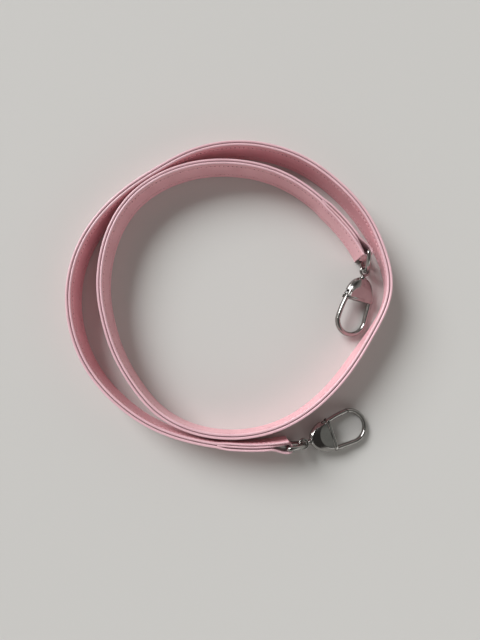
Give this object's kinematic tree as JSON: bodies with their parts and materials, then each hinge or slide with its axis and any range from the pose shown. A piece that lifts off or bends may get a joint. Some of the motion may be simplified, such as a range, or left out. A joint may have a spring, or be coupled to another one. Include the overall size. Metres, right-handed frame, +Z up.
{
  "type": "detachable bag strap",
  "caption": "Slim flat leather bag strap coiled on its edge, with a D-ring and a swivel snap hook at each end.",
  "frame": {"origin": "on the floor under the middle of the coiled part's bounding box", "axes": "+Z up, along the strap's width and the coil's axis; +X to the right and -Y towards the viewer of the picture, the inner hook at +X and the outer hook at +X and -Y"},
  "size_m": [0.1874, 0.1786, 0.0202],
  "materials": {
    "leather": "smooth pink leather with fine grain, painted edges and matching stitches",
    "core": "thin bonded reinforcement",
    "gunmetal": "polished dark gunmetal plating",
    "steel": "plain steel"
  },
  "bodies": {
    "strap": {"strap_outer_layer": "leather", "strap_inner_layer": "leather", "strap_core": "core"},
    "ring_a": {"d_ring_a": "gunmetal"},
    "eye_a": {"swivel_eye_a": "gunmetal"},
    "hook_a": {"hook_body_a": "gunmetal", "gate_pin_a": "steel", "gate_spring_a": "steel"},
    "gate_a": {"hook_gate_a": "gunmetal"},
    "ring_b": {"d_ring_b": "gunmetal"},
    "eye_b": {"swivel_eye_b": "gunmetal"},
    "hook_b": {"hook_body_b": "gunmetal", "gate_pin_b": "steel", "gate_spring_b": "steel"},
    "gate_b": {"hook_gate_b": "gunmetal"}
  },
  "joints": [
    {"name": "ring_a_turn", "type": "hinge", "parent": "strap", "child": "ring_a", "pos_m": [0.0774, 0.02458, 0.01], "axis": [0, 0, 1], "range_deg": [-30, 2]},
    {"name": "eye_a_slide_round_bow", "type": "hinge", "parent": "ring_a", "child": "eye_a", "pos_m": [0.07743, 0.02308, 0.01], "axis": [0.9998, 0.0204, 0], "range_deg": [-70, 45]},
    {"name": "hook_a_swivel", "type": "hinge", "parent": "eye_a", "child": "hook_a", "pos_m": [0.07759, 0.01487, 0.0078], "axis": [-0.2462, -0.9636, -0.1043], "continuous": true},
    {"name": "gate_a_open", "type": "hinge", "parent": "hook_a", "child": "gate_a", "pos_m": [0.06763, 0.00167, 0.00854], "axis": [-0.3071, 0.1796, -0.9346], "range_deg": [-42, 0], "stiffness_Nm_per_rad": 0.002, "springref_deg": 34.38, "deforming": ["gate_spring_a"]},
    {"name": "ring_b_turn", "type": "hinge", "parent": "strap", "child": "ring_b", "pos_m": [0.03078, -0.08587, 0.01], "axis": [0, 0, 1], "range_deg": [-90, 15]},
    {"name": "eye_b_slide_round_bow", "type": "hinge", "parent": "ring_b", "child": "eye_b", "pos_m": [0.03226, -0.08568, 0.01], "axis": [-0.1272, 0.9919, 0], "range_deg": [-75, 50]},
    {"name": "hook_b_swivel", "type": "hinge", "parent": "eye_b", "child": "hook_b", "pos_m": [0.04051, -0.08462, 0.00823], "axis": [0.9411, 0.2932, -0.1682], "continuous": true},
    {"name": "gate_b_open", "type": "hinge", "parent": "hook_b", "child": "gate_b", "pos_m": [0.0527, -0.0737, 0.00569], "axis": [0.1606, 0.05, 0.9857], "range_deg": [-42, 0], "stiffness_Nm_per_rad": 0.002, "springref_deg": 34.38, "deforming": ["gate_spring_b"]}
  ]
}
